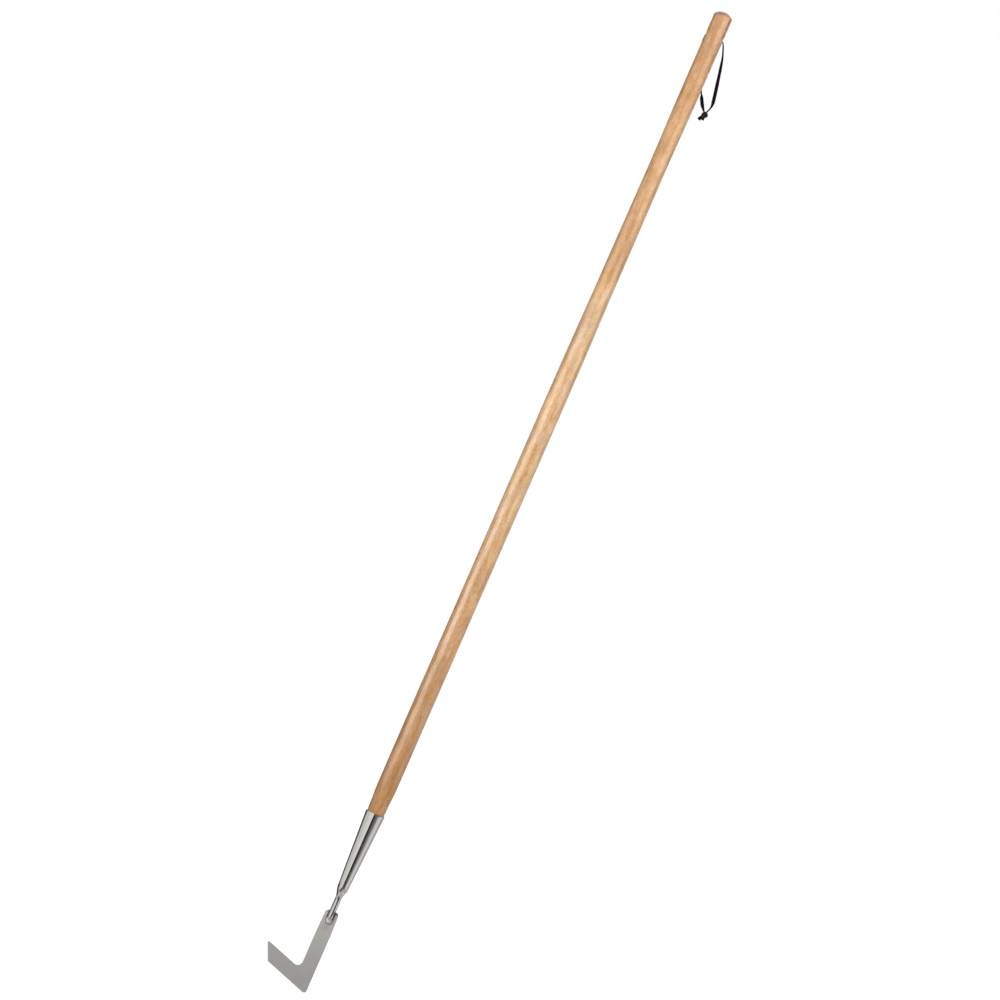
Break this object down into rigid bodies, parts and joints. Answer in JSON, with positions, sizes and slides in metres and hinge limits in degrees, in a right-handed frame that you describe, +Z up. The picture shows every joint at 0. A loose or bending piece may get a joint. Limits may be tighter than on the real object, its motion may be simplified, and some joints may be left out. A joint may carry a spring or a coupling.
{
  "type": "patio weeder",
  "caption": "Long-handled patio weeder: a round ash pole in a rolled steel socket, a short neck bar, an L-shaped blade for paving joints and a leather hanging loop.",
  "frame": {"origin": "middle of the hanging hole, on the axis of the pole", "axes": "+Z up along the pole, blade at the bottom; the blade lies in the XZ plane with its hook towards -X; -Y is the front, with the socket's seam and the weld on the blade"},
  "size_m": [0.1034, 0.0315, 1.494],
  "materials": {
    "lacquered_ash": "turned ash with a clear satin lacquer",
    "polished_steel": "polished stainless steel",
    "satin_steel": "satin stainless steel",
    "weld_steel": "ground and polished weld",
    "screw_steel": "bright round-headed screw",
    "dark_leather": "dark brown waxed leather lace"
  },
  "bodies": {
    "tool": {"handle": "lacquered_ash", "socket": "polished_steel", "fixing_screw": "screw_steel", "neck_bar": "polished_steel", "neck_weld": "weld_steel", "blade": "satin_steel", "blade_weld": "weld_steel"},
    "loop": {"thong_right": "dark_leather", "thong_left": "dark_leather", "thong_knot": "dark_leather"}
  },
  "joints": [
    {"name": "loop_swing", "type": "hinge", "parent": "tool", "child": "loop", "pos_m": [0, 0, 0], "axis": [1, 0, 0], "range_deg": [0, 110]}
  ]
}
